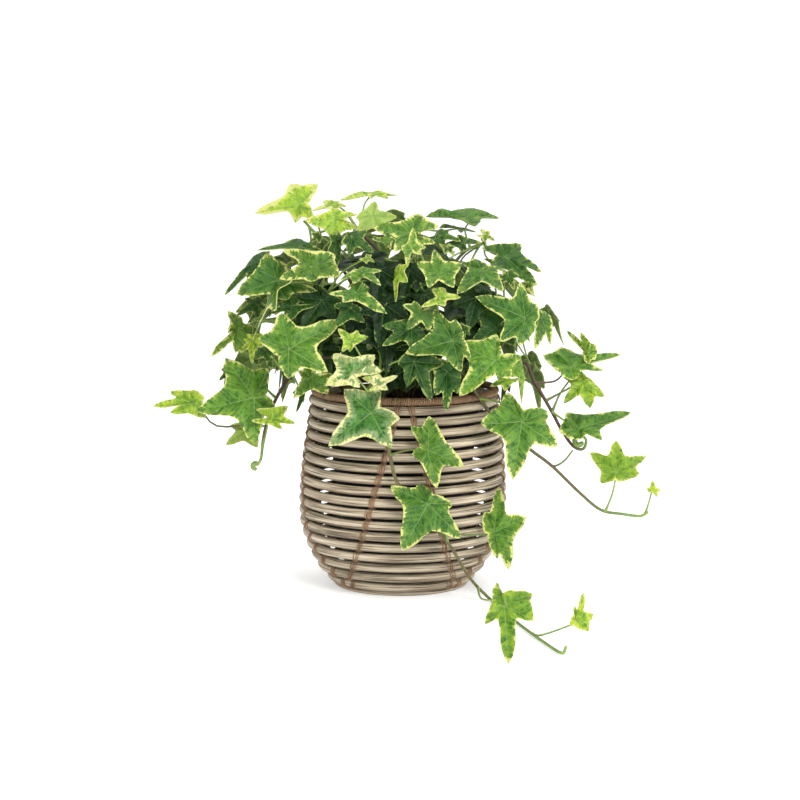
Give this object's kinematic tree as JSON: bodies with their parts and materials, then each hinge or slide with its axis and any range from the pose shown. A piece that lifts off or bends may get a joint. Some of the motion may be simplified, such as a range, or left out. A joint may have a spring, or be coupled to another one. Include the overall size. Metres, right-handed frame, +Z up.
{
  "type": "potted english ivy",
  "caption": "Variegated trailing ivy in a black nursery pot, standing in a round bulging basket of lashed cane hoops with a flat base.",
  "frame": {"origin": "middle of the basket's flat underside", "axes": "+Z up, -Y towards the viewer of the picture, +X to that viewer's right"},
  "size_m": [0.3601, 0.3378, 0.2876],
  "materials": {
    "cane_hoop": "matte greige cane with fine lengthwise streaks",
    "cane_lashing": "matte reddish-brown split cane binding",
    "black_plastic": "thin satin black nursery pot",
    "potting_soil": "loose dark peat compost",
    "ivy_leaf": "waxy living leaf, green middle with an irregular cream-yellow margin",
    "ivy_stem": "young ivy stem, dark brown to olive green"
  },
  "bodies": {
    "root": {"hoop_01": "cane_hoop", "hoop_02": "cane_hoop", "hoop_03": "cane_hoop", "hoop_04": "cane_hoop", "hoop_05": "cane_hoop", "hoop_06": "cane_hoop", "hoop_07": "cane_hoop", "hoop_08": "cane_hoop", "hoop_09": "cane_hoop", "hoop_10": "cane_hoop", "hoop_11": "cane_hoop", "hoop_12": "cane_hoop", "hoop_13": "cane_hoop", "hoop_14": "cane_hoop", "hoop_15": "cane_hoop", "hoop_16": "cane_hoop", "hoop_17": "cane_hoop", "rim_binding": "cane_lashing", "base_disc": "cane_lashing", "rib_1": "cane_hoop", "rib_2": "cane_hoop", "rib_3": "cane_hoop", "rib_4": "cane_hoop", "rib_5": "cane_hoop", "rib_6": "cane_hoop", "rib_7": "cane_hoop", "rib_8": "cane_hoop", "lashing_1": "cane_lashing", "lashing_2": "cane_lashing", "lashing_3": "cane_lashing", "lashing_4": "cane_lashing", "lashing_5": "cane_lashing", "lashing_6": "cane_lashing", "lashing_7": "cane_lashing", "lashing_8": "cane_lashing", "liner_pot": "black_plastic", "soil": "potting_soil", "crown": "ivy_leaf", "left_trail": "ivy_leaf", "right_upper_trail": "ivy_leaf", "right_lower_trail": "ivy_leaf", "front_trail": "ivy_leaf"}
  },
  "joints": []
}
